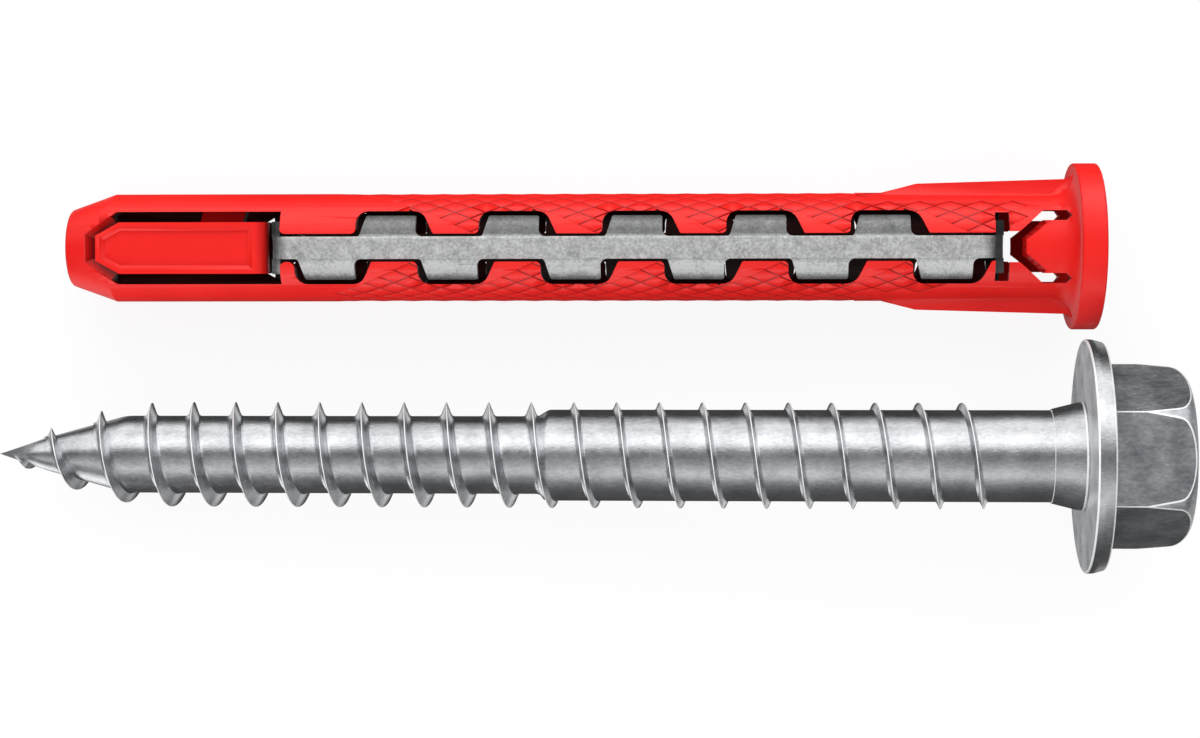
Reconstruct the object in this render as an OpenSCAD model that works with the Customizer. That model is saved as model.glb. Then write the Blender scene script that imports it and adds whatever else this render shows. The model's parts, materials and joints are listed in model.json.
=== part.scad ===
// A frame fixing laid out as a set: a moulded sleeve with its two steel
// expansion strips, and beside it the hex flange screw that drives it open.
// Each piece is built along X from its tip and then laid on the ground,
// where it tilts until its head or collar and its tip end both touch.

/* [Sleeve tube] */
// Outer diameter of the tube
tube_d = 10; // [9:0.1:11]
// Diameter of the nose at its tip
nose_tip_d = 7.05; // [6.2:0.05:7.6]
// Length of the cone that leads the nose in
nose_cone_l = 4.15; // [3.5:0.05:5]
// Rounding of the nose edge
nose_edge_r = 0.4; // [0.2:0.05:0.7]
// Diameter of the bore through the nose
nose_bore_d = 5; // [4.4:0.1:5.4]

/* [Nose window] */
// Distance from the nose tip to the window
window_start = 2; // [1.4:0.02:2.2]
// Distance from the nose tip to the far wall of the window
window_end = 20.12; // [18:0.02:22]
// Width of the window
window_w = 6.66; // [6.2:0.02:6.9]
// Width of the window at its narrow end
window_tip_w = 2.56; // [1.8:0.02:3]
// Length over which the window widens
window_taper_l = 2.9; // [2.2:0.02:3.4]
// Width of the slope that leads down from the window's narrow end
ramp_w = 0.72; // [0.5:0.02:0.8]
// Height over the axis of that slope's upper edge
ramp_top = 3.7; // [3.5:0.02:3.8]
// Height over the axis of that slope's lower edge
ramp_foot = 2.9; // [2.6:0.05:3.2]
// Part of the window's taper that the slope follows
ramp_share = 0.8; // [0.6:0.05:0.9]
// Height of the window floor over the axis
window_floor = 1.2; // [1:0.05:1.6]

/* [Nose tongue] */
// Gap between the tongue and each side of the window
tongue_gap = 0.97; // [0.6:0.01:1.1]
// Height of the tongue's flat face over the axis
tongue_face = 4.42; // [4.2:0.02:4.6]
// Gap between the tongue and the narrow end of the window
tongue_tip_gap = 1.06; // [0.6:0.01:1.3]
// Width of the tongue at its narrow end
tongue_tip_w = 2.3; // [1.9:0.05:2.6]
// Length over which the tongue widens
tongue_taper_l = 2.2; // [1.6:0.05:2.6]
// Gap between the tongue's rounded end and the window's far wall
tongue_end_gap = 1.22; // [1:0.01:1.6]
// Rounding of the tongue's free end
tongue_end_r = 1.3; // [0.4:0.1:1.5]
// Gap between the tongue and the window floor
tongue_lift = 0.4; // [0.3:0.05:0.6]
// Width of the plain rim around the outer step of the panel
panel_rim = 0.41; // [0.3:0.01:0.6]
// Width of the step around the panel
panel_step_w = 0.35; // [0.2:0.01:0.5]
// Depth of the outer step of the panel
panel_step_depth = 0.12; // [0.08:0.01:0.2]
// Depth of the panel
panel_depth = 0.3; // [0.24:0.02:0.5]
// Distance from the panel's plain rim to the tongue's free end
panel_end_gap = 1.4; // [1.4:0.05:2.4]
// Length of the web that ties the tongue to the tube on one side
tie_l = 4.4; // [3:0.1:5]
// Distance from the web to the far wall of the window
tie_end_gap = 3.3; // [2.8:0.1:4]
// Height of the web over the axis
tie_height = 2.9; // [2.4:0.05:3.3]

/* [Zig-zag opening] */
// Distance from one pocket to the next on the same side
pitch = 11.28; // [10.6:0.02:12.5]
// Number of pockets on the side that has more of them
pocket_count = 6; // [3:1:7]
// Distance from the window to the first pocket
first_pocket = 1.31; // [1.1:0.01:1.8]
// Width of the channel between the tooth tips
channel_w = 2.56; // [2.3:0.02:2.8]
// Width over the pockets on both sides
pocket_span = 6.7; // [6.4:0.05:6.9]
// Length of a pocket
pocket_l = 6.1; // [5.9:0.05:6.6]
// Lean of the pocket's far end toward the channel
pocket_lean = 1; // [0.5:0.05:1.1]
// Rounding of the tooth tips
tooth_r = 0.45; // [0.3:0.05:0.5]
// Rounding of the tooth tips that follow a pocket
tooth_end_r = 0.2; // [0.1:0.02:0.3]
// Rounding of the finger between the window and the first pocket
finger_r = 0.6; // [0.4:0.05:0.6]
// Rounding inside the pockets at their near end
pocket_r = 1.1; // [0.8:0.05:1.2]
// Rounding inside the pockets at their far end
pocket_end_r = 1.3; // [1.1:0.05:1.4]

/* [Collar end of the opening] */
// Distance from the last pocket to the cross slot
cross_slot_gap = 0.32; // [0.3:0.01:0.8]
// Width of the cross slot along the sleeve
cross_slot_w = 1.28; // [1.15:0.01:1.5]
// Length of the cross slot across the sleeve
cross_slot_l = 6.24; // [6:0.02:6.5]
// Width of the throat behind the cross slot
throat_w = 2.8; // [2.4:0.05:3.2]
// Length of the throat
throat_l = 0.9; // [0.5:0.05:1.2]
// Length over which the throat widens
throat_taper_l = 2.2; // [2:0.05:3]
// Width over the two slots beside the collar tongue
slots_span = 6.6; // [6.4:0.02:6.7]
// Width of each of these slots
slot_w = 0.9; // [0.7:0.02:1]
// Length of the straight stretch of each slot
slot_l = 2.08; // [1.8:0.02:2.6]
// Width of the collar tongue at its free end
collar_tongue_tip_w = 1.8; // [1.4:0.05:2]
// Width of the bevel round the collar tongue's free end
collar_tongue_bevel = 0.6; // [0.4:0.05:0.7]

/* [Collar] */
// Diameter of the collar
collar_d = 15.3; // [14.5:0.1:16]
// Thickness of the collar
collar_t = 2.3; // [1.8:0.05:2.4]
// Rounding of the collar's edge
collar_edge_r = 0.2; // [0.1:0.05:0.5]
// Fillet between the tube and the collar
collar_root_r = 2; // [1:0.1:2.1]
// Distance from the slots to the underside of the collar
collar_gap = 0.48; // [0.4:0.01:1]
// Chamfer at the mouth of the bore
bore_chamfer = 0.4; // [0.2:0.05:0.6]

/* [Fins] */
// Thickness of a fin
fin_t = 2.8; // [2.2:0.1:3.2]
// Height of a fin over the tube at the collar
fin_height = 1.2; // [0.9:0.05:1.5]
// Height of a fin over the tube where its lead-in ends
fin_shoulder = 0.79; // [0.6:0.01:0.85]
// Length of a fin under the collar
fin_l = 17.4; // [15:0.1:19]
// Length of a fin's lead-in
fin_lead_l = 3.1; // [2.4:0.1:4]
// Fillet between a fin and the collar
fin_root_r = 0.6; // [0.3:0.05:0.9]

/* [Expansion strip] */
// Thickness of the sheet
sheet_t = 0.7; // [0.6:0.02:0.75]
// Gap between the band and the tooth tips on each side
band_gap = 0.25; // [0.15:0.01:0.35]
// Gap between the strip and the screw's path inside the bore
strip_bore_gap = 0.06; // [0.04:0.01:0.15]
// Gap between a tab and the near end of its pocket
tab_start_gap = 0.9; // [0.7:0.01:1.1]
// Gap between a tab's tip and the outer edge of its pocket
tab_tip_gap = 0.42; // [0.3:0.01:0.6]
// Length of a tab at its tip
tab_l = 4.55; // [4.2:0.05:4.6]
// Run of a tab's slanted flank
tab_flank_l = 0.6; // [0.4:0.05:0.7]
// Fillet at the foot of a tab's square flank
tab_root_r = 0.6; // [0.3:0.05:0.65]
// Fillet at the foot of a tab's slanted flank
tab_flank_r = 0.35; // [0.2:0.05:0.4]
// Rounding of a tab's corners
tab_corner_r = 0.2; // [0.1:0.02:0.4]
// Inner radius of the bent end flanges
bend_r = 0.3; // [0.2:0.02:0.4]
// Gap between a flange and the wall that it bears on
flange_gap = 0.1; // [0.04:0.01:0.2]
// Width of the end flanges
flange_w = 4.8; // [4.2:0.1:5.4]
// Distance that the flanges reach in from the outer face of the band
flange_drop = 1.7; // [1.4:0.05:2]
// Distance that the flanges' ears lie below the outer face of the band
ear_drop = 0.4; // [0.3:0.02:0.5]

/* [Screw shank and thread] */
// Distance that the screw's tip stands out of the sleeve when it is home
tip_projection = 5.6; // [4:0.1:12]
// Diameter of the shank
shank_d = 8.4; // [8.2:0.02:8.6]
// Gap all round between the shank and the mouth of the sleeve
shank_gap = 0.1; // [0.06:0.01:0.2]
// Core diameter of the front thread
core_d = 7.18; // [6.9:0.02:7.3]
// Gap all round between the front core and the bore of the sleeve
core_gap = 0.16; // [0.1:0.01:0.25]
// Diameter over the thread crests
thread_d = 9.76; // [9.4:0.02:9.9]
// Advance of the thread in one turn
lead = 3.95; // [3.6:0.01:4.4]
// Advance of the thread in one turn on the tip
tip_lead = 4.8; // [4.4:0.01:5]
// Flank angle of the thread's V
flank_angle = 21; // [17:0.5:24]
// Width of the flat on the thread's crest
crest_w = 0.07; // [0.05:0.01:0.12]
// Distance from the tip to the place where the thread's crests run level
ogive_l = 16.6; // [15:0.1:18]
// Distance from the tip to the crest that the turns are counted from
crest_start = 14.5; // [13.5:0.05:15.5]
// Turns of thread in front of that crest
tip_turns = 2.75; // [2.5:0.25:2.75]
// Length of the front thread from the tip to the shoulder
front_l = 50.7; // [44:0.1:58]
// Length of the shoulder between the core and the shank
shoulder_l = 1; // [0.7:0.05:1.6]
// Plain length from the end of the thread to the flange
plain_l = 7.2; // [6:0.1:14]

/* [Screw tip] */
// Distance from the tip to the knee of its cone
knee_l = 4.5; // [3.6:0.1:5]
// Diameter of the cone at the knee
knee_d = 3.06; // [2.8:0.02:3.2]
// Distance from the tip to the full core
cone_l = 12.1; // [10.5:0.1:13]

/* [Screw head] */
// Diameter of the flange
flange_d = 21.3; // [20:0.1:23]
// Thickness of the flange
flange_t = 1.7; // [1.5:0.05:2.2]
// Width of the level band round the flange's rim
rim_band = 0.4; // [0.2:0.05:0.8]
// Taper of the rim from that band to the hexagon's side
rim_taper = 0.33; // [0.1:0.01:0.5]
// Rounding of the flange's rim
rim_r = 0.25; // [0.1:0.05:0.4]
// Size of the hexagon across its flats
hex_af = 14.6; // [13:0.1:16]
// Height of the hexagon over the flange
hex_h = 7.55; // [6:0.01:9]
// Length of the tapered stretch of the hexagon
hex_taper_l = 4.6; // [3:0.1:5.6]
// Taper of that stretch at the corners
hex_taper_angle = 5; // [3:0.5:8]
// Rounding of the hexagon's end
hex_round = 1.8; // [1:0.1:2.2]
// Diameter of the head's flat end
head_face_d = 12.8; // [11:0.1:13.4]
// Length of the neck under the flange
neck_l = 3; // [2.5:0.1:4.5]
// Diameter of the neck at the flange
neck_d = 10; // [9.6:0.1:11]
// Depth of the step between the neck and the flange
neck_step = 0.2; // [0.1:0.02:0.3]

/* [Layout] */
// Clear space between the collar and the flange
lay_gap = 0.95; // [0.3:0.05:4]
// Distance that the screw's tip lies ahead of the nose
lay_lead = 7.05; // [0:0.05:12]
// Turn of the sleeve about its axis as it lies
sleeve_roll = 2.8; // [0:0.1:4]
// Turn of the screw about its axis as it lies
screw_roll = 0; // [0:0.1:4]

/* [Hidden] */
$fn = 96;

// Largest turn of one step along a rounded corner
corner_step = 18;
// Steps in one turn of the thread
thread_steps = 24;
// Depth that the thread's ridge is sunk below the core's surface
ridge_root = 0.25;
// Turns over which the thread rises at the tip and runs out at the shank
rise_turns = 0.25;
runout_turns = 0.5;
// Overlap of joined forms, and the reach of cuts past a surface
sunk = 0.3;
reach = 1;

tube_r = tube_d / 2;
bore_r = core_d / 2 + core_gap;
mouth_r = shank_d / 2 + shank_gap;
nose_bore_r = nose_bore_d / 2;

// Places along the sleeve, from the nose tip
tongue_start = window_start + tongue_tip_gap;
tongue_end = window_end - tongue_end_gap;
upper_starts = [for (i = [0 : pocket_count - 2]) window_end + first_pocket + pitch * (i + 0.5)];
lower_starts = [for (i = [0 : pocket_count - 1]) window_end + first_pocket + pitch * i];
pockets_end = lower_starts[pocket_count - 1] + pocket_l + pocket_lean;
cross_start = pockets_end + cross_slot_gap;
cross_end = cross_start + cross_slot_w;
throat_end = cross_end + throat_l;
slots_start = throat_end + throat_taper_l;
slots_end = slots_start + slot_l;
slots_point = slots_end + slot_w / 2;
collar_start = slots_point + collar_gap;
sleeve_l = collar_start + collar_t;
collar_r = collar_d / 2;

// Places along the screw, from its tip
under_head = sleeve_l + tip_projection;
thread_end = under_head - plain_l;
shank_r = shank_d / 2;
core_r = core_d / 2;
thread_r = thread_d / 2;
flange_r = flange_d / 2;
head_end = under_head + flange_t + hex_h;

// Faces of the strip over the axis
band_inner = bore_r + strip_bore_gap;
band_outer = band_inner + sheet_t;
band_w = channel_w - 2 * band_gap;

// Rounds the corners of an outline whose points are [x, y] or [x, y, radius].
function unit(v) = v / norm(v);
function flat(p) = [p[0], p[1]];
function corner(a, b, c, r) =
    let (
        u = unit(a - b),
        v = unit(c - b),
        half = acos(u * v) / 2,
        middle = b + unit(u + v) * r / sin(half),
        from = b + u * r / tan(half) - middle,
        turn = (180 - 2 * half) * sign(cross(u, v)) * -1,
        steps = max(2, ceil(abs(turn) / corner_step))
    )
    [for (i = [0 : steps])
        let (angle = turn * i / steps)
        middle + [
            from[0] * cos(angle) - from[1] * sin(angle),
            from[0] * sin(angle) + from[1] * cos(angle)
        ]];
function rounded(points) =
    let (n = len(points))
    [for (i = [0 : n - 1])
        let (b = points[i])
        each (len(b) == 3
            ? corner(flat(points[(i + n - 1) % n]), flat(b), flat(points[(i + 1) % n]), b[2])
            : [b])];

// Mirrors an edge's points across the X axis and turns their order round.
function other_side(points) =
    [for (i = [len(points) - 1 : -1 : 0])
        let (p = points[i])
        len(p) == 3 ? [p[0], -p[1], p[2]] : [p[0], -p[1]]];

// Turns a profile of [along, radius] points into the [radius, along] points of a revolve.
function turned(points) = [for (p = points) [p[1], p[0]]];

// One edge of the opening, from the nose to the collar tongue.
function pocket_edge(start, tip_r) = [
    [start, channel_w / 2, tip_r],
    [start, pocket_span / 2, pocket_r],
    [start + pocket_l, pocket_span / 2, pocket_end_r],
    [start + pocket_l + pocket_lean, channel_w / 2, tooth_end_r]
];
function opening_edge(starts, tip_r) = concat(
    [
        [window_start, window_tip_w / 2],
        [window_start + window_taper_l, window_w / 2],
        [window_end, window_w / 2],
        [window_end, channel_w / 2, tip_r]
    ],
    [for (i = [0 : len(starts) - 1]) each pocket_edge(starts[i], i == 0 ? tip_r : tooth_r)],
    [
        [cross_start, channel_w / 2],
        [cross_start, cross_slot_l / 2],
        [cross_end, cross_slot_l / 2],
        [cross_end, throat_w / 2],
        [throat_end, throat_w / 2],
        [slots_start, slots_span / 2],
        [slots_end, slots_span / 2],
        [slots_point, slots_span / 2 - slot_w / 2],
        [slots_end, slots_span / 2 - slot_w],
        [slots_start, slots_span / 2 - slot_w],
        [throat_end, collar_tongue_tip_w / 2]
    ]
);

// Radius of the screw's core and of its thread crests at a distance from the tip.
function core_at(u) = lookup(u, [[0, 0], [knee_l, knee_d / 2], [cone_l, core_r]]);
function crest_at(u) = u < ogive_l ? thread_r * (1 - pow(1 - u / ogive_l, 2)) : thread_r;

// Distance of the thread's crest from the tip after a number of turns.
function crest_place(turns) = crest_start + turns * (turns < 0 ? tip_lead : lead);

// Each piece leans on its rim and on the first point that meets the ground.
sleeve_rim = collar_start + collar_edge_r;
sleeve_tilt = atan((collar_r - tongue_face) / (sleeve_rim - tongue_start));
sleeve_height = tongue_face * cos(sleeve_tilt) - tongue_start * sin(sleeve_tilt);
screw_rim = under_head + rim_r;
screw_tilt = min([for (turns = [-2.25 : 1.75])
    let (u = crest_place(turns))
    atan((flange_r - crest_at(u)) / (screw_rim - u))]);
screw_height = flange_r * cos(screw_tilt) - screw_rim * sin(screw_tilt);

// The set is centred over the ground by its outermost points.
axis_distance = collar_r + flange_r + lay_gap;
sleeve_y = (axis_distance + flange_r - collar_r) / 2;
screw_y = sleeve_y - axis_distance;
screw_x = -(head_end * cos(screw_tilt) + head_face_d / 2 * sin(screw_tilt)) / 2;
sleeve_x = screw_x + lay_lead;

module lay_sleeve() {
    translate([sleeve_x, sleeve_y, sleeve_height])
        rotate([sleeve_roll, -sleeve_tilt, 0])
            children();
}

module lay_screw() {
    translate([screw_x, screw_y, screw_height])
        rotate([screw_roll, -screw_tilt, 0])
            children();
}

// Revolves a profile of [along, radius] points about the X axis.
module turn_about_x(profile) {
    rotate([0, 90, 0])
        rotate_extrude()
            polygon(turned(rounded(profile)));
}

module both_sides() {
    children();
    rotate([180, 0, 0])
        children();
}

// Extrudes an outline of [along, across] points between two heights.
module raise(low, high) {
    translate([0, 0, low])
        linear_extrude(high - low)
            children();
}

// Extrudes an outline of [along, height] points across the piece.
module span(width) {
    rotate([90, 0, 0])
        linear_extrude(width, center = true)
            children();
}

module sleeve_solid() {
    turn_about_x([
        [0, 0],
        [0, nose_tip_d / 2, nose_edge_r],
        [nose_cone_l, tube_r],
        [collar_start, tube_r, collar_root_r],
        [collar_start, collar_r, collar_edge_r],
        [sleeve_l, collar_r, collar_edge_r],
        [sleeve_l, 0]
    ]);
}

module fin() {
    fin_start = collar_start - fin_l;
    raise(-fin_t / 2, fin_t / 2)
        polygon(rounded([
            [fin_start, tube_r],
            [fin_start + fin_lead_l, tube_r + fin_shoulder],
            [collar_start, tube_r + fin_height, fin_root_r],
            [collar_start, tube_r + fin_height + collar_edge_r + fin_root_r],
            [collar_start + sunk, tube_r + fin_height + collar_edge_r + fin_root_r],
            [collar_start + sunk, tube_r - sunk],
            [fin_start, tube_r - sunk]
        ]));
}

module opening() {
    raise(window_floor, tube_r + reach)
        polygon(rounded(concat(
            opening_edge(upper_starts, tooth_r),
            other_side(opening_edge(lower_starts, finger_r))
        )));
}

// The bore narrows to the nose, so that the screw spreads it.
module sleeve_bore() {
    turn_about_x([
        [-reach, 0],
        [-reach, nose_bore_r],
        [tongue_end - tongue_end_gap, nose_bore_r],
        [window_end, bore_r],
        [cross_start, bore_r],
        [cross_end, mouth_r],
        [sleeve_l - bore_chamfer, mouth_r],
        [sleeve_l + reach, mouth_r + bore_chamfer + reach],
        [sleeve_l + reach, 0]
    ]);
}

// The outline of the nose tongue, drawn in by an inset from its edge.
module tongue_outline(inset, start, end) {
    half = window_w / 2 - tongue_gap - inset;
    tip_half = (tongue_tip_w - inset) / 2;
    full_taper = window_w / 2 - tongue_gap - tongue_tip_w / 2;
    taper_end = start + tongue_taper_l * (half - tip_half) / full_taper;
    polygon([
        [start, -tip_half],
        [start, tip_half],
        [taper_end, half],
        [end, half],
        [end, -half],
        [taper_end, -half]
    ]);
}

module nose_tongue() {
    under = window_floor + tongue_lift;
    intersection() {
        raise(under, tongue_face)
            tongue_outline(0, tongue_start, tongue_end);
        span(window_w)
            polygon(rounded([
                [tongue_start - sunk, under - sunk],
                [tongue_start - sunk, tongue_face],
                [tongue_end, tongue_face, tongue_end_r],
                [tongue_end, under - sunk]
            ]));
    }
    // The neck joins the tongue to the foot of the nose's slope.
    raise(under, ramp_foot)
        translate([window_start, -tongue_tip_w / 2])
            square([tongue_tip_gap + sunk, tongue_tip_w]);
    // A web ties one side of the tongue to the tube.
    tie_end = window_end - tie_end_gap;
    raise(window_floor - sunk, tie_height)
        polygon([
            [tie_end - tie_l, window_w / 2 - tongue_gap - sunk],
            [tie_end - tie_l + tongue_gap / 2, window_w / 2 + sunk],
            [tie_end, window_w / 2 + sunk],
            [tie_end - tongue_gap / 2, window_w / 2 - tongue_gap - sunk]
        ]);
}

module panel_recess() {
    rim = panel_rim;
    step = panel_rim + panel_step_w;
    end = tongue_end - panel_end_gap;
    raise(tongue_face - panel_step_depth, tongue_face + reach)
        tongue_outline(rim, tongue_start + rim, end);
    raise(tongue_face - panel_depth, tongue_face + reach)
        tongue_outline(step, tongue_start + step, end - panel_step_w);
}

// A slope runs down from one straight edge of the window, between two points.
module ramp(from, to) {
    run = to - from;
    translate([from[0], from[1], 0])
        rotate([0, 0, atan2(run[1], run[0])])
            rotate([90, 0, 90])
                linear_extrude(norm(run))
                    polygon([
                        [sunk, window_floor],
                        [sunk, ramp_top],
                        [0, ramp_top],
                        [-ramp_w, ramp_foot],
                        [-ramp_w, window_floor]
                    ]);
}

module window_slopes() {
    tip = [window_start, window_tip_w / 2];
    corner = [window_start + window_taper_l, window_w / 2];
    ramp([tip[0], -tip[1]], tip);
    ramp(tip, tip + ramp_share * (corner - tip));
    mirror([0, 1, 0])
        ramp(tip, tip + ramp_share * (corner - tip));
}

// Slanted cuts bevel the collar tongue's end and the two edges beside it.
module tongue_bevel() {
    half = slots_span / 2 - slot_w;
    tip = [throat_end, collar_tongue_tip_w / 2];
    corner = [slots_start, half];
    for (edge = [[[tip[0], -tip[1]], tip], [tip, corner], [[corner[0], -corner[1]], [tip[0], -tip[1]]]]) {
        run = edge[1] - edge[0];
        translate([edge[0][0], edge[0][1], 0])
            rotate([0, 0, atan2(run[1], run[0])])
                rotate([90, 0, 90])
                    linear_extrude(norm(run))
                        polygon([
                            [sunk, mouth_r - 2 * sunk],
                            [0, mouth_r - 2 * sunk],
                            [-collar_tongue_bevel, tube_r],
                            [-collar_tongue_bevel, tube_r + reach],
                            [sunk, tube_r + reach]
                        ]);
    }
}

module sleeve() {
    color([0.93, 0.13, 0.12])
        lay_sleeve()
            difference() {
                union() {
                    difference() {
                        union() {
                            sleeve_solid();
                            both_sides()
                                fin();
                        }
                        both_sides()
                            opening();
                    }
                    both_sides() {
                        nose_tongue();
                        window_slopes();
                    }
                }
                sleeve_bore();
                both_sides() {
                    panel_recess();
                    tongue_bevel();
                }
            }
}

// One edge of the strip: straight past the teeth, with a tab in each pocket.
function tab_edge(start) =
    let (
        tip = pocket_span / 2 - tab_tip_gap,
        from = start + tab_start_gap
    )
    [
        [from - tab_flank_l, band_w / 2, tab_flank_r],
        [from, tip, tab_corner_r],
        [from + tab_l, tip, tab_corner_r],
        [from + tab_l, band_w / 2, tab_root_r]
    ];

// Places of the flanges' outer faces, and of the band between their bends
strip_start = window_end - flange_gap - sheet_t;
strip_end = cross_start + flange_gap + sheet_t;
bend_outer_r = bend_r + sheet_t;
band_start = strip_start + bend_outer_r;
band_end = strip_end - bend_outer_r;

// The flat band and its tabs, which curve with the tube.
module strip_sheet() {
    intersection() {
        raise(0, tube_r)
            polygon(rounded(concat(
                [[band_start, band_w / 2]],
                [for (start = upper_starts) each tab_edge(start)],
                [[band_end, band_w / 2], [band_end, -band_w / 2]],
                other_side([for (start = lower_starts) each tab_edge(start)]),
                [[band_start, -band_w / 2]]
            )));
        rotate([90, 0, 90])
            linear_extrude(sleeve_l)
                union() {
                    translate([-band_w / 2, band_inner])
                        square([band_w, sheet_t]);
                    intersection() {
                        difference() {
                            circle(band_outer + strip_bore_gap);
                            circle(band_inner + strip_bore_gap);
                        }
                        translate([-pocket_span / 2, 0])
                            square([pocket_span, tube_r]);
                    }
                }
    }
}

// A flange is bent inward and saddles the screw's path.
module strip_flange() {
    difference() {
        union() {
            translate([0, band_w / 2, band_outer - bend_outer_r])
                rotate([90, 0, 0])
                    rotate_extrude(angle = 90)
                        translate([bend_r, 0])
                            square([sheet_t, band_w]);
            raise(band_outer - flange_drop, band_outer - bend_outer_r)
                translate([bend_r, -flange_w / 2])
                    square([sheet_t, flange_w]);
            raise(band_outer - flange_drop, band_outer - ear_drop)
                for (side = [0, 1])
                    mirror([0, side, 0])
                        translate([bend_r, band_w / 2])
                            square([sheet_t, (flange_w - band_w) / 2]);
        }
        rotate([0, 90, 0])
            cylinder(h = 4 * bend_outer_r, r = band_inner, center = true);
    }
}

module strip() {
    strip_sheet();
    translate([band_end, 0, 0])
        strip_flange();
    translate([band_start, 0, 0])
        rotate([0, 0, 180])
            strip_flange();
}

module upper_expansion_strip() {
    color([0.66, 0.67, 0.68])
        lay_sleeve()
            strip();
}

module lower_expansion_strip() {
    color([0.66, 0.67, 0.68])
        lay_sleeve()
            rotate([180, 0, 0])
                strip();
}

module screw_core() {
    turn_about_x([
        [0, 0],
        [knee_l, knee_d / 2],
        [cone_l, core_r],
        [front_l, core_r],
        [front_l + shoulder_l, shank_r],
        [under_head - neck_l, shank_r],
        [under_head - neck_step, neck_d / 2],
        [under_head, neck_d / 2],
        [under_head, flange_r, rim_r],
        [under_head + rim_r + rim_band, flange_r],
        [under_head + flange_t, flange_r - rim_taper, rim_r],
        [under_head + flange_t, 0]
    ]);
}

// The hexagon's corners taper and round off toward its flat end.
module screw_hexagon() {
    corner_d = hex_af / cos(30);
    taper_start = head_end - hex_taper_l;
    taper_l = hex_taper_l - hex_round;
    corner_round = hex_round / 2;
    face_round = hex_round / 3;
    intersection() {
        translate([under_head + flange_t - sunk, 0, 0])
            rotate([0, 90, 0])
                rotate([0, 0, 30])
                    cylinder(h = hex_h + sunk, d = corner_d, $fn = 6);
        turn_about_x([
            [under_head, 0],
            [under_head, corner_d / 2 + reach],
            [taper_start, corner_d / 2 + reach],
            [taper_start, corner_d / 2],
            [taper_start + taper_l, corner_d / 2 - taper_l * tan(hex_taper_angle), corner_round],
            [head_end, head_face_d / 2, face_round],
            [head_end, 0]
        ]);
    }
}

// The thread is a ridge that winds round the core, sunk a little into it.
// Each step holds two points under the core's surface and two on the crest.
thread_turns = tip_turns + (thread_end - crest_start) / lead;
thread_count = floor(thread_turns * thread_steps);

function thread_section(i) =
    let (
        turns = i / thread_steps - tip_turns,
        u = crest_place(turns),
        rise = min(1, i / thread_steps / rise_turns),
        fall = min(1, (thread_count - i) / thread_steps / runout_turns),
        surface = u < front_l ? core_at(u) : shank_r,
        root = core_at(u) - ridge_root,
        low = surface - ridge_root / 2,
        top = low + (crest_at(u) - low) * min(rise, fall),
        half_top = crest_w / 2,
        half_root = half_top + (top - root) * tan(flank_angle),
        angle = 90 + 360 * turns
    )
    [for (p = [[root, -half_root], [top, -half_top], [top, half_top], [root, half_root]])
        [p[0] * cos(angle), p[0] * sin(angle), u + p[1]]];

module thread_ridge() {
    last = 4 * thread_count;
    points = [for (i = [0 : thread_count]) each thread_section(i)];
    faces = concat(
        [[3, 2, 1, 0], [last, last + 1, last + 2, last + 3]],
        [for (i = [0 : thread_count - 1], j = [0 : 3])
            let (
                a = 4 * i + j,
                b = 4 * i + (j + 1) % 4
            )
            each [[a, b, b + 4], [a, b + 4, a + 4]]]
    );
    rotate([0, 90, 0])
        polyhedron(points, faces);
}

module screw() {
    color([0.72, 0.73, 0.74])
        lay_screw() {
            screw_core();
            screw_hexagon();
            thread_ridge();
        }
}

sleeve();
upper_expansion_strip();
lower_expansion_strip();
screw();
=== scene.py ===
# %% [markdown]
# # A frame fixing: red sleeve, galvanised strips and a hexagon screw
# The real object is a long wall plug of red nylon with two zig-zag steel
# strips in it, and the zinc plated screw that spreads it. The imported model
# gives every solid at its true size. This lesson keeps what is right in it,
# and adds what a solid model leaves out: the moulded diamond relief, a smooth
# thread, softly broken edges and real surfaces.

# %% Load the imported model
import json
import math

import bpy
from mathutils import Euler, Matrix, Vector

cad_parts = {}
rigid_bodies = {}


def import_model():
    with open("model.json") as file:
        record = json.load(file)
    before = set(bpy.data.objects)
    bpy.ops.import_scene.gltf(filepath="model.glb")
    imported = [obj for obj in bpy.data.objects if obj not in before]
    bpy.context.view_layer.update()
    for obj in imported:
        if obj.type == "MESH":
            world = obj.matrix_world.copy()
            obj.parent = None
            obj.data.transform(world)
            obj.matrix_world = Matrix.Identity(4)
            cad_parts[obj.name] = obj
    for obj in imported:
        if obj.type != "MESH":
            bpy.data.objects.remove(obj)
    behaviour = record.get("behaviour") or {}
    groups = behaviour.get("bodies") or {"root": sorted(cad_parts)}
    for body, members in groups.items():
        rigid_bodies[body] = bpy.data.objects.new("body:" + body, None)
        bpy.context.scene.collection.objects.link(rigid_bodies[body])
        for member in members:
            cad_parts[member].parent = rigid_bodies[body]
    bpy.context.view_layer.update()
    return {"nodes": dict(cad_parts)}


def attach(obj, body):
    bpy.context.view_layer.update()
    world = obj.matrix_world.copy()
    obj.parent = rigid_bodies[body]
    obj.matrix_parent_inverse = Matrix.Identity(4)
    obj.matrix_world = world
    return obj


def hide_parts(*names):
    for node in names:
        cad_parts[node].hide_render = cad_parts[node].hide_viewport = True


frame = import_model()
print("solids in the frame:", sorted(frame["nodes"]))

# %% [markdown]
# ## Sizes
# All lengths here are in millimetres, as on a drawing, and one number turns
# them into Blender's metres. A piece is built along X from its tip, and then
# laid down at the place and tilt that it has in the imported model.

# %% Name the sizes that the pieces share
MM = 0.001
TUBE_R = 5.0
SLEEVE_PLACE = {"at": (-47.9355, 11.125, 4.30712), "roll": 2.8, "tilt": 2.06043}
SCREW_PLACE = {"at": (-54.9855, -8.125, 3.77194), "roll": 0.0, "tilt": 3.89895}


def turn_of(place):
    """The turn of a laid piece: first its roll about X, then its tilt."""
    return Euler((math.radians(place["roll"]), -math.radians(place["tilt"]), 0.0))


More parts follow.
